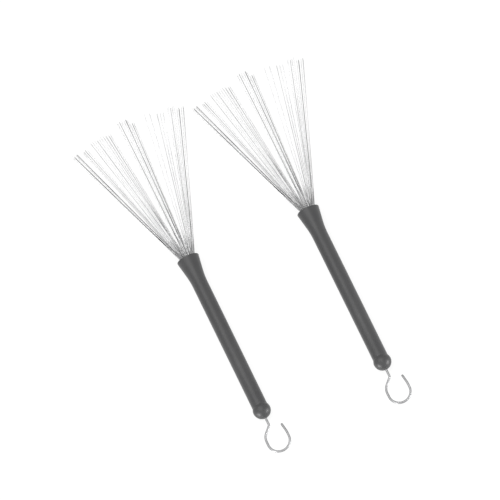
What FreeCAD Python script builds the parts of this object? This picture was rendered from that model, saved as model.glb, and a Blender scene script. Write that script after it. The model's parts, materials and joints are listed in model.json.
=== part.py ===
"""A pair of retractable wire brushes for playing drums, lying side by side.

Each brush is a rubber-covered aluminium handle with a pull rod through it. The rod carries a fan of
steel wires at its front end and an open hanging loop at its back end, so pulling the loop draws the
wires into the handle.

Every piece is made in its brush's own frame: the origin is the centre of the mouth's rim, +Y runs out
along the wires, +X is to the right and +Z is up. A brush is then tipped until it lies on its rim and
its ball, and the pair is set on the floor with the origin under the middle of its box.
"""

import FreeCAD
import Part

import math
import os
import random

# Handle's rubber grip
BARREL_RADIUS = 6.6
MOUTH_RADIUS = 9.75
MOUTH_ANGLE = 9.2            # degrees that the flare's outside leans from the axis
FLARE_BLEND = 5.6            # how far the blend into the barrel reaches, each side of the corner
RIM_ROUND = 0.25
LIP_DEPTH = 0.8              # rubber in front of the tube's end
BALL_RADIUS = 7.6
BALL_CENTRE = -149.0
BALL_BLEND = 2.5             # radius of the hollow between the barrel and the ball
ROD_HOLE_RADIUS = 1.4

# Tube and its end plug
TUBE_BORE = 4.2
TUBE_WALL = 0.6
TUBE_END = -152.5
TRUMPET_START = -16.5        # where the cone of the tube's mouth would meet its bore
TRUMPET_ANGLE = 12.4         # degrees that the tube's mouth leans from the axis
TRUMPET_BLEND = 23.0         # radius on the tube's inner face
PLUG_FRONT = -147.5
PLUG_FLANGE = 1.0
PLUG_BORE = 1.05
PLUG_CHAMFER = 0.4

# Plunger: the ferrule that holds the wires, and the friction ring round it
FERRULE_FRONT = -13.35
FERRULE_BACK = -26.0
FERRULE_RADIUS = 3.95
FERRULE_CHAMFER = 0.25
CUP_RADIUS = 3.45
CUP_FLOOR = -20.5
POTTING_FRONT = -13.95
RING_MIDDLE = -24.0
RING_WIDTH = 1.9
RING_OUTER = 4.15
RING_INNER = 3.05
RING_ROUND = 0.35
GROOVE_CLEARANCE = 0.05

# Pull rod: it runs straight back to the neck, which leads it sideways into the loop
ROD_RADIUS = 1.0
NECK_START = -162.7
NECK_TURN = 45.0             # degrees
NECK_RADIUS = 2.8
NECK_RUN = 5.9
SHOULDER_RADIUS = 10.2
SHOULDER_RUN = 3.5
LOOP_RADIUS = 9.5
LEG_RUN = 3.0
LEG_TURN = 9.0               # degrees
LEG_RADIUS = 20.0
LEG_END_RUN = 5.6

# Wires
WIRE_RADIUS = 0.15
WIRE_LENGTH = 146.75
WIRE_START = -13.9           # just in front of the potting that holds them
LENGTH_SCATTER = 1.2
ANGLE_SCATTER = 0.1          # of half a tuft's spread
SCATTER_SEED = 7
COLUMN_PITCH = 0.33
ROW_PITCH = 0.30
ROW_LIFT = 0.15              # degrees between the rows of a tuft
SIDE_OFFSET = 0.75           # a layer's two tufts start this far either side of the axis
LAYERS = 6
LAYER_PITCH = 0.95
LAYER_LIFT = 0.8             # degrees between neighbouring layers

# Tufts from left to right: the angle from the axis (positive to the left), the layer counted from the
# bottom, rows, columns, and half the angle that the columns spread over. Angles are in degrees.
TUFTS = (
    (18.7, 4, 3, 4, 0.63),
    (14.7, 1, 2, 4, 0.65),
    (10.7, 3, 2, 4, 0.95),
    (7.5, 2, 2, 4, 0.90),
    (5.4, 0, 3, 3, 0.60),
    (0.1, 5, 3, 3, 0.60),
    (-1.3, 5, 3, 3, 0.45),
    (-2.8, 0, 3, 3, 0.45),
    (-8.5, 3, 3, 2, 0.80),
    (-12.6, 1, 2, 3, 0.90),
    (-16.8, 4, 2, 4, 0.80),
    (-19.6, 2, 3, 4, 0.90),
)

# The pair: the right brush beside the left one, and a little further back
BRUSH_SPACING = 108.3
BRUSH_SETBACK = 8.4

X_AXIS = FreeCAD.Vector(1, 0, 0)
Y_AXIS = FreeCAD.Vector(0, 1, 0)
Z_AXIS = FreeCAD.Vector(0, 0, 1)
ORIGIN = FreeCAD.Vector(0, 0, 0)


# Profiles lie in the XY plane, where x is the radius, and are turned round the Y axis.

def spot(radius, y):
    return FreeCAD.Vector(radius, y, 0)


def way(degrees):
    """A unit vector in the XY plane, at an angle from +X."""
    turn = math.radians(degrees)
    return FreeCAD.Vector(math.cos(turn), math.sin(turn), 0)


def arc(centre, radius, start, end):
    """An arc in the XY plane from one angle to another, in degrees."""
    points = [centre + way(angle) * radius for angle in (start, (start + end) / 2, end)]
    return Part.Arc(*points).toShape()


def blend(corner, first_way, second_way, reach):
    """The arc that rounds a corner between two straight stretches, reaching that far along each."""
    half = first_way.getAngle(second_way) / 2
    inward = first_way + second_way
    inward.normalize()
    centre = corner + inward * (reach / math.cos(half))
    middle = centre - inward * (reach * math.tan(half))
    return Part.Arc(corner + first_way * reach, middle, corner + second_way * reach).toShape()


def outline(pieces):
    """A closed wire through points and arcs in their order, with straight lines between them."""
    edges = []
    ends = []
    for piece in pieces:
        if isinstance(piece, FreeCAD.Vector):
            ends.append((piece, piece))
            continue
        ends.append((piece.valueAt(piece.FirstParameter), piece.valueAt(piece.LastParameter)))
        edges.append(piece)
    for (_, leave), (arrive, _) in zip(ends, ends[1:] + ends[:1]):
        edges.append(Part.LineSegment(leave, arrive).toShape())
    return Part.Wire(Part.sortEdges(edges)[0])


def turned(pieces):
    return Part.Face(outline(pieces)).revolve(ORIGIN, Y_AXIS, 360)


# The handle

def trumpet(offset):
    """The tube's inner face moved outward by offset: where it starts at the mouth, then its blend."""
    depth = -LIP_DEPTH - TRUMPET_START
    lean = math.radians(TRUMPET_ANGLE)
    mouth_radius = TUBE_BORE + depth * math.tan(lean) + offset / math.cos(lean)
    blend_back = TRUMPET_START - TRUMPET_BLEND * math.tan(lean / 2)
    centre = spot(TUBE_BORE + TRUMPET_BLEND, blend_back)
    return spot(mouth_radius, -LIP_DEPTH), centre, TRUMPET_BLEND - offset


def handle_tube():
    """The aluminium tube, which opens into a trumpet at the mouth."""
    inner_mouth, centre, inner_radius = trumpet(0)
    outer_mouth, centre, outer_radius = trumpet(TUBE_WALL)
    return turned([
        inner_mouth,
        arc(centre, inner_radius, 180 - TRUMPET_ANGLE, 180),
        spot(TUBE_BORE, TUBE_END),
        spot(TUBE_BORE + TUBE_WALL, TUBE_END),
        arc(centre, outer_radius, 180, 180 - TRUMPET_ANGLE),
        outer_mouth,
    ])


def grip():
    """The moulded rubber over the tube: rim, flare, barrel, and a ball that closes the back end."""
    inner_mouth = trumpet(0)[0]
    outer_mouth, trumpet_centre, trumpet_radius = trumpet(TUBE_WALL)
    rim_centre = spot(MOUTH_RADIUS - RIM_ROUND, -RIM_ROUND)
    flare_start = rim_centre + way(-MOUTH_ANGLE) * RIM_ROUND
    flare_length = (flare_start.x - BARREL_RADIUS) / math.tan(math.radians(MOUTH_ANGLE))
    flare_corner = spot(BARREL_RADIUS, flare_start.y - flare_length)
    hollow_x = BARREL_RADIUS + BALL_BLEND
    hollow_y = math.sqrt((BALL_RADIUS + BALL_BLEND) ** 2 - hollow_x ** 2)
    ball_start = math.degrees(math.atan2(hollow_y, hollow_x))
    ball_end = math.degrees(math.acos(ROD_HOLE_RADIUS / BALL_RADIUS))
    cavity_end = TUBE_END - PLUG_FLANGE
    return turned([
        arc(spot(inner_mouth.x + RIM_ROUND, -RIM_ROUND), RIM_ROUND, 180, 90),
        arc(rim_centre, RIM_ROUND, 90, -MOUTH_ANGLE),
        blend(flare_corner, way(90 - MOUTH_ANGLE), way(-90), FLARE_BLEND),
        arc(spot(hollow_x, BALL_CENTRE + hollow_y), BALL_BLEND, 180, 180 + ball_start),
        arc(spot(0, BALL_CENTRE), BALL_RADIUS, ball_start, -ball_end),
        spot(ROD_HOLE_RADIUS, cavity_end),
        spot(TUBE_BORE + TUBE_WALL, cavity_end),
        arc(trumpet_centre, trumpet_radius, 180, 180 - TRUMPET_ANGLE),
        outer_mouth,
        inner_mouth,
    ])


def end_plug():
    """The nylon plug that guides the rod, with a flange behind the tube's end."""
    flange_back = TUBE_END - PLUG_FLANGE
    flange_radius = TUBE_BORE + TUBE_WALL
    return turned([
        spot(PLUG_BORE, flange_back),
        spot(flange_radius, flange_back),
        spot(flange_radius, TUBE_END),
        spot(TUBE_BORE, TUBE_END),
        spot(TUBE_BORE, PLUG_FRONT - PLUG_CHAMFER),
        spot(TUBE_BORE - PLUG_CHAMFER, PLUG_FRONT),
        spot(PLUG_BORE, PLUG_FRONT),
    ])


# The plunger

def friction_ring():
    """The rubber ring in the ferrule's groove, which rubs on the tube and holds the plunger."""
    back = RING_MIDDLE - RING_WIDTH / 2
    front = RING_MIDDLE + RING_WIDTH / 2
    round_x = RING_OUTER - RING_ROUND
    return turned([
        spot(RING_INNER, back),
        arc(spot(round_x, back + RING_ROUND), RING_ROUND, -90, 0),
        arc(spot(round_x, front - RING_ROUND), RING_ROUND, 0, 90),
        spot(RING_INNER, front),
    ])


def ferrule():
    """The metal cup that holds the wires' ends, with the ring's groove round its back half."""
    groove_radius = RING_INNER - GROOVE_CLEARANCE
    groove_half = RING_WIDTH / 2 + GROOVE_CLEARANCE
    return turned([
        spot(ROD_RADIUS, FERRULE_BACK),
        spot(FERRULE_RADIUS, FERRULE_BACK),
        spot(FERRULE_RADIUS, RING_MIDDLE - groove_half),
        spot(groove_radius, RING_MIDDLE - groove_half),
        spot(groove_radius, RING_MIDDLE + groove_half),
        spot(FERRULE_RADIUS, RING_MIDDLE + groove_half),
        spot(FERRULE_RADIUS, FERRULE_FRONT - FERRULE_CHAMFER),
        spot(FERRULE_RADIUS - FERRULE_CHAMFER, FERRULE_FRONT),
        spot(CUP_RADIUS, FERRULE_FRONT),
        spot(CUP_RADIUS, CUP_FLOOR),
        spot(ROD_RADIUS, CUP_FLOOR),
    ])


def wire_potting():
    """The hard resin that fills the cup round the wires' ends."""
    return Part.makeCylinder(CUP_RADIUS, POTTING_FRONT - CUP_FLOOR, spot(0, CUP_FLOOR), Y_AXIS)


def pull_rod():
    """The steel rod from the ferrule's cup, through the plug and the ball, to the loop's rounded end."""
    steps = (
        (CUP_FLOOR - NECK_START, NECK_RADIUS, -NECK_TURN),
        (NECK_RUN, SHOULDER_RADIUS, NECK_TURN),
        (SHOULDER_RUN, LOOP_RADIUS, 180),
        (LEG_RUN, LEG_RADIUS, LEG_TURN),
    )
    place = spot(0, CUP_FLOOR)
    heading = -90
    edges = []
    for run, radius, turn in steps:
        bend_start = place + way(heading) * run
        edges.append(Part.LineSegment(place, bend_start).toShape())
        side = math.copysign(90, turn)
        centre = bend_start + way(heading + side) * radius
        edges.append(arc(centre, radius, heading - side, heading - side + turn))
        heading += turn
        place = centre + way(heading - side) * radius
    tip = place + way(heading) * LEG_END_RUN
    edges.append(Part.LineSegment(place, tip).toShape())
    section = Part.Wire(Part.Circle(spot(0, CUP_FLOOR), Y_AXIS, ROD_RADIUS).toShape())
    rod = Part.Wire(edges).makePipeShell([section], True, False)
    return rod.fuse(Part.makeSphere(ROD_RADIUS, tip)).removeSplitter()


# The wires

def tuft_root(number):
    """Where a tuft starts: its middle on the front of the potting."""
    fan_angle, layer = TUFTS[number][:2]
    side = -SIDE_OFFSET if fan_angle > 0 else SIDE_OFFSET
    return FreeCAD.Vector(side, WIRE_START, (layer - (LAYERS - 1) / 2) * LAYER_PITCH)


def wire_way(fan_angle, lift):
    """The direction of a wire, from its angles in the fan's plane and out of it."""
    fan = math.radians(fan_angle)
    rise = math.radians(lift)
    return FreeCAD.Vector(-math.sin(fan) * math.cos(rise), math.cos(fan) * math.cos(rise), math.sin(rise))


def tuft_lift(number):
    return (TUFTS[number][1] - (LAYERS - 1) / 2) * LAYER_LIFT


def tuft_way(number):
    return wire_way(TUFTS[number][0], tuft_lift(number))


def wire_tuft(number):
    """The wires of one tuft, in staggered rows that spread from its root."""
    fan_angle, _, rows, columns, spread = TUFTS[number]
    scatter = random.Random(SCATTER_SEED + number)
    wires = []
    for row in range(rows):
        row_step = row - (rows - 1) / 2
        stagger = COLUMN_PITCH / 4 * (-1) ** row
        for column in range(columns):
            column_step = column - (columns - 1) / 2
            across = 2 * column_step / (columns - 1) + scatter.uniform(-ANGLE_SCATTER, ANGLE_SCATTER)
            root = tuft_root(number)
            root += X_AXIS * (column_step * COLUMN_PITCH + stagger)
            root += Z_AXIS * (row_step * ROW_PITCH)
            direction = wire_way(fan_angle - across * spread, tuft_lift(number) + row_step * ROW_LIFT)
            length = WIRE_LENGTH + scatter.uniform(-LENGTH_SCATTER, LENGTH_SCATTER)
            wires.append(Part.makeCylinder(WIRE_RADIUS, length, root, direction))
    return Part.makeCompound(wires)


# The pair

def lie_angle():
    """How far a brush tips up when it lies on its ball and its rim, in radians."""
    rim_radius = MOUTH_RADIUS - RIM_ROUND
    reach = -RIM_ROUND - BALL_CENTRE
    drop = (RIM_ROUND - BALL_RADIUS) / math.hypot(reach, rim_radius)
    return math.asin(drop) + math.atan2(rim_radius, reach)


def brush_placement(side):
    """Where a brush lies, before the pair is centred."""
    height = BALL_RADIUS - BALL_CENTRE * math.sin(lie_angle())
    place = FreeCAD.Vector(0, 0, height)
    if side == "right":
        place += FreeCAD.Vector(BRUSH_SPACING, -BRUSH_SETBACK, 0)
    return FreeCAD.Placement(place, FreeCAD.Rotation(X_AXIS, math.degrees(lie_angle())))


def brush_pieces():
    pieces = {
        "grip": grip(),
        "handle_tube": handle_tube(),
        "end_plug": end_plug(),
        "friction_ring": friction_ring(),
        "ferrule": ferrule(),
        "wire_potting": wire_potting(),
        "pull_rod": pull_rod(),
    }
    for number in range(len(TUFTS)):
        pieces[f"wire_tuft_{number + 1:02d}"] = wire_tuft(number)
    return pieces


def laid_pair():
    """Every piece of both brushes where it lies, and the shift that centres the pair on the origin."""
    laid = {}
    for side in ("left", "right"):
        for name, shape in brush_pieces().items():
            piece = shape.copy()
            piece.Placement = brush_placement(side).multiply(piece.Placement)
            laid[f"{side}_{name}"] = piece
    box = Part.makeCompound(list(laid.values())).optimalBoundingBox(False)
    shift = FreeCAD.Vector(-box.Center.x, -box.Center.y, -box.ZMin)
    for piece in laid.values():
        piece.translate(shift)
    return laid, shift


def main():
    os.makedirs("parts", exist_ok=True)
    pieces = laid_pair()[0]
    for name, piece in pieces.items():
        piece.exportStep(f"parts/{name}.step")


main()
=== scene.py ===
"""The looks of a pair of retractable wire drum brushes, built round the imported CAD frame.

Pieces made here: both rubber grips, both pull rods with their hanging loops, and every tuft of wires.
The tubes, plugs, ferrules, rings and potting are the CAD nodes with finished materials.
Shapes are given in millimetres in a brush's own frame: the origin is the middle of the mouth's rim, +Y
runs out along the wires, +X is to the right and +Z is up. Materials and lights are given in metres.
"""

import json
import math
import random

import bmesh
import bpy
from mathutils import Matrix, Vector


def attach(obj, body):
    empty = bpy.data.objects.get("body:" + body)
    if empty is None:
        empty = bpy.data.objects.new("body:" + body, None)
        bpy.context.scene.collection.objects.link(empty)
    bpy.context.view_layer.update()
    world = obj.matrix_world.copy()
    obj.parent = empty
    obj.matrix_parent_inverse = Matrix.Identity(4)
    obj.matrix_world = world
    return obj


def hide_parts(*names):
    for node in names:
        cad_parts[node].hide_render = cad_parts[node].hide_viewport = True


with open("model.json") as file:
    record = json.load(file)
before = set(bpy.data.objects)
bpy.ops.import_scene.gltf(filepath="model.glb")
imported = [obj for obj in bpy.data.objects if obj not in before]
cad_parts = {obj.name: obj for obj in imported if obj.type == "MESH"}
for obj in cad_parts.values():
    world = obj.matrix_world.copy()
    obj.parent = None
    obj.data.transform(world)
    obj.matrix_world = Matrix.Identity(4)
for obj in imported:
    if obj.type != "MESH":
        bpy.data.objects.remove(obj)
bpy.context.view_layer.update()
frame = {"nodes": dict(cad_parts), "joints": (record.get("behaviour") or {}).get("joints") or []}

MM = 0.001
SIDES = ("left", "right")
JOINTS = {joint["name"]: joint for joint in frame["joints"]}

# Grip, as in the CAD
BARREL_RADIUS = 6.6
MOUTH_RADIUS = 9.75
MOUTH_ANGLE = 9.2            # degrees that the flare's outside leans from the axis
FLARE_BLEND = 5.6            # how far the blend into the barrel reaches, each side of the corner
RIM_ROUND = 0.25
LIP_DEPTH = 0.8              # rubber in front of the tube's end
BALL_RADIUS = 7.6
BALL_CENTRE = -149.0
BALL_BLEND = 2.5             # radius of the hollow between the barrel and the ball
ROD_HOLE_RADIUS = 1.4
CAVITY_RADIUS = 4.8          # outside of the tube
CAVITY_END = -153.5
CAVITY_FLARE = -18.0         # where the cavity begins to widen towards the mouth
TRUMPET_MOUTH = 8.266        # outside of the tube where it ends behind the lip
TRUMPET_INNER = 7.652        # its inside there

# Details of the moulding that only the looks need
SEAM_HEIGHT = 0.05
SEAM_WIDTH = 0.22
SEAM_AT = (0, 180)           # degrees round the grip, from its right side
SEAM_ANGLES = (-2, -1.2, -0.6, 0.6, 1.2, 2)  # extra angles beside each seam, in degrees

# How finely the grip is divided. Steps are in degrees.
GRIP_SEGMENTS = 120
RING_SPACING = 2.0           # between the grip's rings where it is straight
RIM_STEP = 15.0
BALL_STEP = 3.0
HOLLOW_STEP = 6.0
FLARE_STEPS = 8              # how many there are in the blend between the barrel and the flare

# Pull rod, as in the CAD. Turns are in degrees.
RING_MIDDLE = -24.0          # where the rod's spin joint stands
CUP_FLOOR = -20.5
ROD_RADIUS = 1.0
NECK_START = -162.7
NECK_TURN = 45.0
NECK_RADIUS = 2.8
NECK_RUN = 5.9
SHOULDER_RADIUS = 10.2
SHOULDER_RUN = 3.5
LOOP_RADIUS = 9.5
LOOP_TURN = 180.0
LEG_RUN = 3.0
LEG_TURN = 9.0
LEG_RADIUS = 20.0
LEG_END_RUN = 5.6
ROD_SIDES = 32
ROD_END_RINGS = 5
BEND_STEP = 4.0              # degrees between the rod's rings in a bend
POLE_GAP = 0.3               # share of a step that a rounded end's last ring stays short of its pole

# Wires
WIRE_RADIUS = 0.15
WIRE_SIDES = 8
WIRE_END_RINGS = 2
WIRE_STEPS = 24
STEP_POWER = 1.3             # above 1, the steps are shorter near the root
TUFT_BOW = 0.35              # how far a tuft's middle stands off the straight line, at most
WIRE_BOW = 0.08              # how much more a single wire's middle may
TUFT_CURL = 0.4              # how far the tips of a tuft curl away together, at most
WIRE_CURL = 0.5              # how much more a single tip may
CURL_POWER = 5               # the curl keeps to the last fifth or so of the wire
ROOT_SHIFT = 0.8             # how far a wire may stray sideways where it leaves the mouth
ROOT_SHIFT_AT = 0.115        # share of the wire's length where it strays most
ROOT_SHIFT_POWER = 3         # the higher this is, the shorter the stretch that strays
FAN_HALF_ANGLE = 20.0        # degrees. The wires at the fan's edges stray only inward.
WIRE_SEED = 11
WELD_DISTANCE = 1e-7         # metres. A CAD mesh's points that are nearer than this are one.

# Painted reflections: how bright each wire's steel is painted, dark, middling, bright or gleaming, in place
# of the dark and bright surroundings it mirrors. The wires of a tuft that lie above each other make one line
# to the eye, and share their tone. Each tuft's lines are given from left to right.
REFLECTION_TONES = {"d": 0.04, "m": 0.44, "b": 0.83, "g": 1.0}
TONE_SCATTER = 0.04
LINE_REFLECTION_TONES = ("gdgd", "bmdg", "mbbm", "bbmb", "mmb", "gdb", "gdg", "gdg", "bb", "mbb", "bmbb", "bdgm")

# How the painted tone changes along a wire, in metres from its root, which is 14 mm behind the mouth
# Painted shade and painted reflection of the dark grip: one even grey where the wires crowd out of the mouth
ROOT_SHADE_TONE = 0.33
ROOT_SHADE_END = 0.022        # the wire has the painted root shade up to here
OWN_TONE_START = 0.038       # and its painted reflection tone from here
SHIMMER = 0.22               # how far its painted reflection comes and goes along it
TIP_LIGHT_START = 0.06            # painted light makes it lighter from here
TIP_LIGHT_END = 0.147             # to its tip
TIP_LIGHT_RISE = 0.20

# Colours. Each material is cloudy between a darker and a lighter one.
GRIP_RUBBER = ((0.034, 0.034, 0.035), (0.048, 0.048, 0.049))
RING_RUBBER = ((0.018, 0.018, 0.018), (0.026, 0.026, 0.026))
PLATED_STEEL = ((0.31, 0.31, 0.315), (0.38, 0.38, 0.385))
# The wire's range runs from a painted dark reflection to a painted bright one
WIRE_STEEL = ((0.03, 0.03, 0.032), (0.92, 0.92, 0.925))
ALUMINIUM = ((0.62, 0.62, 0.63), (0.74, 0.74, 0.75))
NICKEL = ((0.50, 0.495, 0.48), (0.60, 0.595, 0.575))
NYLON = ((0.035, 0.035, 0.036), (0.055, 0.055, 0.056))
RESIN = ((0.05, 0.042, 0.033), (0.09, 0.075, 0.058))
PAPER = ((0.15, 0.15, 0.15), (0.17, 0.17, 0.17))
WHITE = (1, 1, 1, 1)

# Nearly all of a noise's values lie between these
NOISE_LOW = 0.3
NOISE_HIGH = 0.7

# Studio, in metres. Radiance is in units of the picture's white.
FLOOR_REACH = 8.0            # from the middle to each side
FLOOR_GLOW = 0.86
HORIZON_RADIANCE = 0.6
ZENITH_RADIANCE = 0.85
SOFTBOXES = (                # name, direction from the origin, distance, width, height, radiance
    ("overhead", (-0.18, 0.1, 1), 1.4, 1.2, 1.2, 2.0),
    ("left_strip", (-0.76, -0.64, 0.08), 1.1, 0.5, 0.2, 27.0),
    ("right_strip", (0.76, -0.64, 0.08), 1.1, 0.5, 0.2, 27.0),
)

# Camera
VIEW_ELEVATION = 69.9        # degrees above the floor, looking along +Y
VIEW_ROLL = 26.13            # degrees that the brushes' axes lean left of upright in the picture
VIEW_WIDTH = 419.5           # what the picture's width takes in at the object
VIEW_AIM = Vector((-5.6, 17.2, 4.1))
LENS = 1000.0
SENSOR = 36.0
CLIP_RANGE = (0.01, 100.0)   # metres


# Meshes

def brush_matrix(side):
    """A brush's own frame in the row frame, from its slide's axis and its rod's spin joint."""
    axis = Vector(JOINTS[f"{side}_plunger_slide"]["axis"]).normalized()
    right = Vector((1, 0, 0))
    up = right.cross(axis)
    mouth = Vector(JOINTS[f"{side}_rod_spin"]["pos_m"]) - axis * RING_MIDDLE * MM
    turn = Matrix((right, axis, up)).transposed().to_4x4()
    return Matrix.Translation(mouth) @ turn


def make_piece(name, points, faces, matrix, material, uvs=None):
    """A smooth mesh object from points in metres and faces, with a UV map if it has one."""
    mesh = bpy.data.meshes.new(name)
    mesh.from_pydata(points, [], faces)
    if uvs:
        layer = mesh.uv_layers.new(name="along")
        for polygon in mesh.polygons:
            for loop, uv in zip(polygon.loop_indices, uvs[polygon.index]):
                layer.data[loop].uv = uv
    mesh.validate()
    mesh.shade_smooth()
    mesh.materials.append(material)
    piece = bpy.data.objects.new(name, mesh)
    bpy.context.scene.collection.objects.link(piece)
    piece.matrix_world = matrix
    return piece


def way(degrees):
    """The unit vector at an angle from +X."""
    return Vector((math.cos(math.radians(degrees)), math.sin(math.radians(degrees))))


def arc(centre, radius, start, end, step):
    """Points on an arc from one angle to another, in degrees."""
    count = max(2, math.ceil(abs(end - start) / step))
    return [centre + way(start + (end - start) * i / count) * radius for i in range(count + 1)]


def corner_arc(corner, first_way, second_way, reach, count):
    """Points that round a corner between two straight stretches, reaching that far along each."""
    half = first_way.angle(second_way) / 2
    centre = corner + (first_way + second_way).normalized() * (reach / math.cos(half))
    start = corner + first_way * reach - centre
    end = corner + second_way * reach - centre
    turn = start.angle_signed(end)
    return [centre + Matrix.Rotation(-turn * i / count, 2) @ start for i in range(count + 1)]


def spaced(points, spacing):
    """The same closed outline with no straight stretch longer than spacing."""
    made = []
    for here, there in zip(points, points[1:] + points[:1]):
        count = max(1, math.ceil((there - here).length / spacing))
        made += [here.lerp(there, i / count) for i in range(count)]
    return made


def grip_outline():
    """The grip's section, where x is the radius and y runs along the axis."""
    rim_centre = Vector((MOUTH_RADIUS - RIM_ROUND, -RIM_ROUND))
    flare_start = rim_centre + way(-MOUTH_ANGLE) * RIM_ROUND
    flare_length = (flare_start.x - BARREL_RADIUS) / math.tan(math.radians(MOUTH_ANGLE))
    flare_corner = Vector((BARREL_RADIUS, flare_start.y - flare_length))
    hollow_x = BARREL_RADIUS + BALL_BLEND
    hollow_y = math.sqrt((BALL_RADIUS + BALL_BLEND) ** 2 - hollow_x ** 2)
    hollow_centre = Vector((hollow_x, BALL_CENTRE + hollow_y))
    ball_start = math.degrees(math.atan2(hollow_y, hollow_x))
    ball_end = math.degrees(math.acos(ROD_HOLE_RADIUS / BALL_RADIUS))
    outline = arc(Vector((TRUMPET_INNER + RIM_ROUND, -RIM_ROUND)), RIM_ROUND, 180, 90, RIM_STEP)
    outline += arc(rim_centre, RIM_ROUND, 90, -MOUTH_ANGLE, RIM_STEP)
    outline += corner_arc(flare_corner, way(90 - MOUTH_ANGLE), way(-90), FLARE_BLEND, FLARE_STEPS)
    outline += arc(hollow_centre, BALL_BLEND, 180, 180 + ball_start, HOLLOW_STEP)
    outline += arc(Vector((0, BALL_CENTRE)), BALL_RADIUS, ball_start, -ball_end, BALL_STEP)[1:]
    outline += [
        Vector((ROD_HOLE_RADIUS, CAVITY_END)),
        Vector((CAVITY_RADIUS, CAVITY_END)),
        Vector((CAVITY_RADIUS, CAVITY_FLARE)),
        Vector((TRUMPET_MOUTH, -LIP_DEPTH)),
        Vector((TRUMPET_INNER, -LIP_DEPTH)),
    ]
    return spaced(outline, RING_SPACING)


def grip_angles():
    """Angles round the grip, closer together at its two mould seams."""
    even = [360 * i / GRIP_SEGMENTS for i in range(GRIP_SEGMENTS)]
    fine = [seam + offset for seam in SEAM_AT for offset in SEAM_ANGLES]
    return sorted(angle % 360 for angle in even + fine)


def seam_rise(point, angle):
    """How far a mould seam stands out at a point of the grip's outline. The rim and the bore have none."""
    if point.x < BARREL_RADIUS - RIM_ROUND or point.y > -RIM_ROUND:
        return 0.0
    off = math.remainder(angle, 180.0)
    across = math.radians(off) * point.x
    return SEAM_HEIGHT * math.exp(-(across / (SEAM_WIDTH / 2)) ** 2)


def make_grip(side, material):
    """The moulded grip: its outline swept round the axis."""
    outline = grip_outline()
    angles = grip_angles()
    points = []
    for point in outline:
        for angle in angles:
            radius = point.x + seam_rise(point, angle)
            turn = math.radians(angle)
            points.append(Vector((radius * math.cos(turn), point.y, radius * math.sin(turn))) * MM)
    rings, count = len(outline), len(angles)
    faces = []
    for ring in range(rings):
        here, there = ring * count, (ring + 1) % rings * count
        for step in range(count):
            after = (step + 1) % count
            faces.append((here + step, here + after, there + after, there + step))
    piece = make_piece(f"{side}_moulded_grip", points, faces, brush_matrix(side), material)
    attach(piece, f"{side}_handle")
    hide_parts(f"{side}_grip")


def rod_path():
    """The middle of the pull rod, from the ferrule's cup to the end of the loop's leg."""
    steps = (                # how far it runs straight, then the radius and turn of its bend
        (CUP_FLOOR - NECK_START, NECK_RADIUS, -NECK_TURN),
        (NECK_RUN, SHOULDER_RADIUS, NECK_TURN),
        (SHOULDER_RUN, LOOP_RADIUS, LOOP_TURN),
        (LEG_RUN, LEG_RADIUS, LEG_TURN),
    )
    heading = -90
    path = [Vector((0, CUP_FLOOR))]
    for run, radius, turn in steps:
        bend_start = path[-1] + way(heading) * run
        side = math.copysign(90, turn)
        centre = bend_start + way(heading + side) * radius
        path += arc(centre, radius, heading - side, heading - side + turn, BEND_STEP)
        heading += turn
    path.append(path[-1] + way(heading) * LEG_END_RUN)
    return [Vector((point.x, point.y, 0)) for point in path]


def tube_rings(path, radii, sides):
    """Rings of points round a path that need not be flat, one ring for each of its points."""
    normal = None
    rings = []
    for index, (point, radius) in enumerate(zip(path, radii)):
        ahead = path[min(index + 1, len(path) - 1)] - path[max(index - 1, 0)]
        ahead.normalize()
        if normal is None:
            normal = ahead.orthogonal()
        normal = (normal - ahead * normal.dot(ahead)).normalized()
        across = ahead.cross(normal)
        turns = [math.tau * i / sides for i in range(sides)]
        rings.append([point + (normal * math.cos(t) + across * math.sin(t)) * radius for t in turns])
    return rings


def tube_mesh(path, radii, sides, first_index=0):
    """Points, faces and UVs of a closed tube. U is the length along it and V goes round it."""
    rings = tube_rings(path, radii, sides)
    points = [point for ring in rings for point in ring]
    lengths = [0.0]
    for here, there in zip(path, path[1:]):
        lengths.append(lengths[-1] + (there - here).length)
    faces = []
    uvs = []
    for ring in range(len(rings) - 1):
        low = first_index + ring * sides
        high = low + sides
        near, far = lengths[ring], lengths[ring + 1]
        for step in range(sides):
            after = (step + 1) % sides
            left, right = step / sides, (step + 1) / sides
            faces.append((low + step, low + after, high + after, high + step))
            uvs.append(((near, left), (near, right), (far, right), (far, left)))
    last = first_index + (len(rings) - 1) * sides
    faces.append(tuple(first_index + step for step in reversed(range(sides))))
    faces.append(tuple(last + step for step in range(sides)))
    uvs += [((0, 0),) * sides, ((0, 0),) * sides]
    return points, faces, uvs


def rounded_end(path, radius, count):
    """Points and radii that carry a tube on into a rounded end, in that many rings."""
    ahead = (path[-1] - path[-2]).normalized()
    turns = [math.pi / 2 * (i + 1) / (count + POLE_GAP) for i in range(count)]
    points = [path[-1] + ahead * (radius * math.sin(turn)) for turn in turns]
    return points, [radius * math.cos(turn) for turn in turns]


def make_rod(side, material):
    """The pull rod with its neck and its hanging loop."""
    path = rod_path()
    cap, cap_radii = rounded_end(path, ROD_RADIUS, ROD_END_RINGS)
    radii = [ROD_RADIUS] * len(path) + cap_radii
    points, faces, uvs = tube_mesh(path + cap, radii, ROD_SIDES)
    points = [point * MM for point in points]
    uvs = [[(u * MM, v) for u, v in face] for face in uvs]
    piece = make_piece(f"{side}_rod_and_loop", points, faces, brush_matrix(side), material, uvs)
    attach(piece, f"{side}_plunger")
    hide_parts(f"{side}_pull_rod")


# Wires

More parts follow.
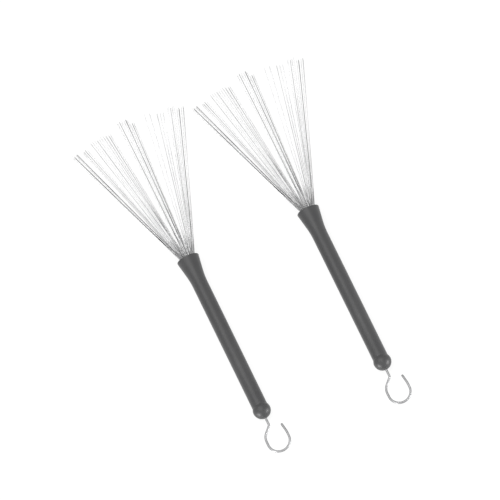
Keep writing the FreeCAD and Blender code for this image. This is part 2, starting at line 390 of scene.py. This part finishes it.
def cad_wires(node):
    """The two ends of each wire of a CAD tuft, root first, in the row frame and in metres."""
    mesh = bmesh.new()
    mesh.from_mesh(frame["nodes"][node].data)
    bmesh.ops.remove_doubles(mesh, verts=mesh.verts, dist=WELD_DISTANCE)
    left = set(mesh.verts)
    wires = []
    while left:
        island = {left.pop()}
        newest = list(island)
        while newest:
            near = {edge.other_vert(vert) for vert in newest for edge in vert.link_edges} - island
            island |= near
            newest = list(near)
        left -= island
        spots = sorted((vert.co.copy() for vert in island), key=lambda spot: tuple(spot.yxz))
        half = len(spots) // 2
        root = sum(spots[:half], Vector()) / half
        tip = sum(spots[half:], Vector()) / half
        wires.append((root, tip))
    mesh.free()
    return sorted(wires, key=lambda wire: tuple(wire[1]))


def sway(along, scatter, most):
    """A sideways offset of a random size and direction, across the way along."""
    across = along.orthogonal().normalized()
    other = along.normalized().cross(across)
    turn = scatter.uniform(0, math.tau)
    return (across * math.cos(turn) + other * math.sin(turn)) * scatter.uniform(0, most) * MM


def wire_path(root, tip, bow, curl, shift):
    """A wire that strays a little near its root, bows in its length and curls at its tip."""
    along = tip - root
    path = []
    for step in range(WIRE_STEPS + 1):
        share = (step / WIRE_STEPS) ** STEP_POWER
        stray = (share / ROOT_SHIFT_AT * math.exp(1 - share / ROOT_SHIFT_AT)) ** ROOT_SHIFT_POWER
        offset = bow * math.sin(math.pi * share) + curl * share ** CURL_POWER + shift * stray
        path.append(root + along * share + offset)
    return path


def painted_reflection_tones(number, wires, scatter):
    """The painted reflection tone of each wire of a tuft, where the wires come line by line."""
    lines = LINE_REFLECTION_TONES[number - 1]
    rows = len(wires) // len(lines)
    return [REFLECTION_TONES[line] + scatter.uniform(-TONE_SCATTER, TONE_SCATTER) for line in lines for _ in range(rows)]


def make_tuft(side, number, material):
    """A tuft of wires that are nearly straight, each with its own painted reflection tone."""
    node = f"{side}_wire_tuft_{number:02d}"
    scatter = random.Random(f"{WIRE_SEED} {number}")
    wires = cad_wires(node)
    along = wires[0][1] - wires[0][0]
    inward = -along.normalized().x / math.sin(math.radians(FAN_HALF_ANGLE))
    tuft_bow = sway(along, scatter, TUFT_BOW)
    tuft_curl = sway(along, scatter, TUFT_CURL)
    points, faces, uvs, tones = [], [], [], []
    for (root, tip), tone in zip(wires, painted_reflection_tones(number, wires, scatter)):
        bow = tuft_bow + sway(along, scatter, WIRE_BOW)
        curl = tuft_curl + sway(along, scatter, WIRE_CURL)
        shift = Vector(((scatter.uniform(-1, 1) + inward) * ROOT_SHIFT * MM, 0, 0))
        path = wire_path(root, tip, bow, curl, shift)
        cap, cap_radii = rounded_end(path, WIRE_RADIUS * MM, WIRE_END_RINGS)
        radii = [WIRE_RADIUS * MM] * len(path) + cap_radii
        wire = tube_mesh(path + cap, radii, WIRE_SIDES, len(points))
        for whole, part in zip((points, faces, uvs), wire):
            whole += part
        tones += [tone] * len(wire[0])
    piece = make_piece(f"{side}_wires_{number:02d}", points, faces, Matrix.Identity(4), material, uvs)
    # The tone attribute carries each wire's painted reflection tone
    piece.data.attributes.new("tone", "FLOAT", "POINT").data.foreach_set("value", tones)
    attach(piece, f"{side}_tuft_{number:02d}")
    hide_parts(node)


# Materials

def new_material(name):
    """A node material, its tree and its Principled node, which feed() then gives its values."""
    material = bpy.data.materials.new(name)
    material.use_nodes = True
    return material, material.node_tree, material.node_tree.nodes["Principled BSDF"]


def feed(tree, target, values):
    """Gives a node's inputs their values by name, as numbers or as other nodes' outputs."""
    for name, value in values.items():
        if isinstance(value, bpy.types.NodeSocket):
            tree.links.new(value, target.inputs[name])
        else:
            target.inputs[name].default_value = value


def add(tree, kind, values=None, **settings):
    """A new node with its settings and its inputs' values."""
    made = tree.nodes.new(f"ShaderNode{kind}")
    for name, value in settings.items():
        setattr(made, name, value)
    feed(tree, made, values or {})
    return made


def stretched(tree, vector, scale):
    """Coordinates multiplied by scale."""
    return add(tree, "Mapping", {"Vector": vector, "Scale": scale}).outputs["Vector"]


def place(tree, source="Object", scale=(1, 1, 1)):
    """Coordinates that stay with the piece, multiplied by scale."""
    return stretched(tree, add(tree, "TexCoord").outputs[source], scale)


def noise(tree, vector, scale=1.0, detail=3.0, roughness=0.5):
    """Smooth noise, as a value from 0 to 1."""
    values = {"Vector": vector, "Scale": scale, "Detail": detail, "Roughness": roughness}
    return add(tree, "TexNoise", values).outputs["Fac"]


def spread(tree, value, low, high, start=NOISE_LOW, end=NOISE_HIGH):
    """Maps a value between start and end to a number between low and high."""
    values = {"Value": value, "From Min": start, "From Max": end, "To Min": low, "To Max": high}
    return add(tree, "MapRange", values).outputs["Result"]


def plus(tree, first, second):
    """The sum of two values."""
    return add(tree, "Math", {0: first, 1: second}, operation="ADD").outputs["Value"]


def shades(tree, value, colours):
    """A colour between a darker and a lighter one, by a value from 0 to 1."""
    ramp = add(tree, "ValToRGB", {"Fac": value})
    for stop, colour in zip(ramp.color_ramp.elements, colours):
        stop.color = (*colour, 1)
    return ramp.outputs["Color"]


def bump(tree, height, distance, strength, under=None):
    """A normal bent by a height, on top of another bent normal if there is one."""
    values = {"Height": height, "Distance": distance, "Strength": strength}
    if under:
        values["Normal"] = under
    return add(tree, "Bump", values).outputs["Normal"]


def rubber_material(name, colours, roughness):
    """Satin moulded rubber: a fine skin, cloudy shade, and patches that handling has polished."""
    material, tree, surface = new_material(name)
    where = place(tree)
    along = place(tree, scale=(1, 0.35, 1))
    clouds = noise(tree, along, scale=90.0, detail=4.0, roughness=0.6)
    patches = noise(tree, along, scale=55.0)
    swell = bump(tree, noise(tree, along, scale=260.0, detail=2.0), distance=0.00004, strength=0.3)
    skin = noise(tree, where, scale=2600.0, detail=2.0, roughness=0.6)
    feed(tree, surface, {
        "Base Color": shades(tree, spread(tree, clouds, 0.0, 1.0), colours),
        "Roughness": spread(tree, patches, roughness - 0.05, roughness + 0.06),
        "Specular IOR Level": 0.5,
        "Sheen Weight": 0.06,
        "Sheen Roughness": 0.45,
        "Normal": bump(tree, skin, distance=0.00003, strength=0.35, under=swell),
    })
    return material


def metal_material(name, colours, roughness, grain, source="Object", depth=0.000004):
    """Bright metal with fine lines, which run across the direction that grain stretches most."""
    material, tree, surface = new_material(name)
    lines = noise(tree, place(tree, source, grain), roughness=0.65)
    clouds = noise(tree, place(tree), scale=70.0)
    lowest, highest = roughness
    feed(tree, surface, {
        "Metallic": 1.0,
        "Base Color": shades(tree, spread(tree, clouds, 0.0, 1.0), colours),
        "Roughness": spread(tree, lines, lowest, highest),
        "Normal": bump(tree, lines, depth, strength=0.5),
    })
    return material


def wire_material():
    """Hard drawn spring wire.

    Its painted reflection comes and goes along it, gives way to an even painted shade where it leaves the
    mouth, and is painted lighter towards the tip.
    """
    material, tree, surface = new_material("spring_wire")
    tone = add(tree, "Attribute", attribute_name="tone").outputs["Fac"]
    length = add(tree, "SeparateXYZ", {"Vector": add(tree, "TexCoord").outputs["UV"]}).outputs["X"]
    where = add(tree, "CombineXYZ", {"X": length, "Y": tone}).outputs["Vector"]
    # Painted reflection that comes and goes along the wire
    shimmer = spread(tree, noise(tree, stretched(tree, where, (26, 31, 1))), -SHIMMER, SHIMMER)
    # Painted light: the wire grows lighter towards its tip
    tip_light = spread(tree, length, 0.0, TIP_LIGHT_RISE, TIP_LIGHT_START, TIP_LIGHT_END)
    # Painted shade at the root, then the painted reflection tone with its painted light towards the tip
    mixed = add(tree, "Mix", {
        "Factor": spread(tree, length, 0.0, 1.0, ROOT_SHADE_END, OWN_TONE_START),
        "A": ROOT_SHADE_TONE,
        "B": plus(tree, plus(tree, tone, shimmer), tip_light),
    })
    lines = noise(tree, place(tree, "UV", (900, 9, 1)), detail=2.0)
    feed(tree, surface, {
        "Metallic": 1.0,
        "Base Color": shades(tree, mixed.outputs["Result"], WIRE_STEEL),
        "Roughness": spread(tree, lines, 0.20, 0.32),
    })
    return material


def cast_material(name, colours, roughness, scale, depth):
    """Cast or turned plastic with a slightly uneven skin."""
    material, tree, surface = new_material(name)
    clouds = noise(tree, place(tree), scale, detail=4.0)
    skin = noise(tree, place(tree), scale * 8)
    feed(tree, surface, {
        "Base Color": shades(tree, spread(tree, clouds, 0.0, 1.0), colours),
        "Roughness": spread(tree, clouds, roughness - 0.06, roughness + 0.08),
        "Normal": bump(tree, skin, depth, strength=0.4),
    })
    return material


def finish_nodes():
    """Gives the CAD nodes that stay their materials."""
    finishes = {
        "handle_tube": metal_material(
            "drawn_aluminium", ALUMINIUM, roughness=(0.24, 0.36), grain=(2600, 60, 2600)),
        "end_plug": cast_material("turned_nylon", NYLON, roughness=0.42, scale=300.0, depth=0.00001),
        "friction_ring": rubber_material("ring_rubber", RING_RUBBER, roughness=0.55),
        "ferrule": metal_material("turned_nickel", NICKEL, roughness=(0.16, 0.30), grain=(40, 5200, 40)),
        "wire_potting": cast_material("cast_resin", RESIN, roughness=0.28, scale=700.0, depth=0.00003),
    }
    for side in SIDES:
        for part, material in finishes.items():
            node = frame["nodes"][f"{side}_{part}"]
            for holder in node.material_slots:
                holder.material = material


# Studio

def make_floor():
    """A plain pale sheet that glows, as a light table does, so that shadows on it stay faint."""
    corners = [Vector((x, y, 0)) * FLOOR_REACH for x, y in ((-1, -1), (1, -1), (1, 1), (-1, 1))]
    material, tree, surface = new_material("pale_floor")
    paper = noise(tree, place(tree), scale=400.0, detail=2.0)
    feed(tree, surface, {
        "Base Color": shades(tree, paper, PAPER),
        "Roughness": 0.9,
        "Specular IOR Level": 0.0,
        "Emission Color": WHITE,
        "Emission Strength": FLOOR_GLOW,
    })
    floor = make_piece("floor", corners, [(0, 1, 2, 3)], Matrix.Identity(4), material)


def make_world():
    """An even studio, a little brighter overhead than at the horizon."""
    world = bpy.data.worlds.new("studio")
    world.use_nodes = True
    tree = world.node_tree
    toward = add(tree, "TexCoord").outputs["Generated"]
    height = add(tree, "SeparateXYZ", {"Vector": toward}).outputs["Z"]
    feed(tree, tree.nodes["Background"], {
        "Color": WHITE,
        "Strength": spread(tree, height, HORIZON_RADIANCE, ZENITH_RADIANCE, 0.0, 1.0),
    })
    bpy.context.scene.world = world


def make_softbox(name, toward, distance, width, height, radiance):
    """A soft light in the direction toward, facing the origin."""
    lamp = bpy.data.lights.new(name, "AREA")
    lamp.shape = "RECTANGLE"
    lamp.size, lamp.size_y = width, height
    lamp.energy = radiance * math.pi * width * height
    box = bpy.data.objects.new(name, lamp)
    bpy.context.scene.collection.objects.link(box)
    away = Vector(toward).normalized()
    box.location = away * distance
    box.rotation_mode = "QUATERNION"
    box.rotation_quaternion = away.to_track_quat("Z", "Y")
    box.visible_camera = False


def make_camera():
    """A long lens that looks down on the handles' side, turned so that the brushes lean to the left."""
    elevation = math.radians(VIEW_ELEVATION)
    roll = math.radians(VIEW_ROLL)
    back = Vector((0, -math.cos(elevation), math.sin(elevation)))
    ahead = Vector((0, math.sin(elevation), math.cos(elevation)))
    right = Vector((math.cos(roll), 0, 0)) - ahead * math.sin(roll)
    up = back.cross(right)
    data = bpy.data.cameras.new("camera")
    data.lens = LENS
    data.sensor_width = SENSOR
    data.clip_start, data.clip_end = CLIP_RANGE
    camera = bpy.data.objects.new("camera", data)
    bpy.context.scene.collection.objects.link(camera)
    stand = (VIEW_AIM + back * (VIEW_WIDTH * LENS / SENSOR)) * MM
    turn = Matrix((right, up, back)).transposed().to_4x4()
    camera.matrix_world = Matrix.Translation(stand) @ turn
    bpy.context.scene.camera = camera


def main():
    rubber = rubber_material("grip_rubber", GRIP_RUBBER, roughness=0.42)
    steel = metal_material(
        "plated_rod", PLATED_STEEL, roughness=(0.40, 0.50), grain=(300, 14, 1), source="UV", depth=0.000002)
    wire = wire_material()
    for side in SIDES:
        make_grip(side, rubber)
        make_rod(side, steel)
        for number in range(1, len(LINE_REFLECTION_TONES) + 1):
            make_tuft(side, number, wire)
    finish_nodes()
    make_floor()
    make_world()
    for softbox in SOFTBOXES:
        make_softbox(*softbox)
    make_camera()
    bpy.context.scene.view_settings.view_transform = "Standard"


main()
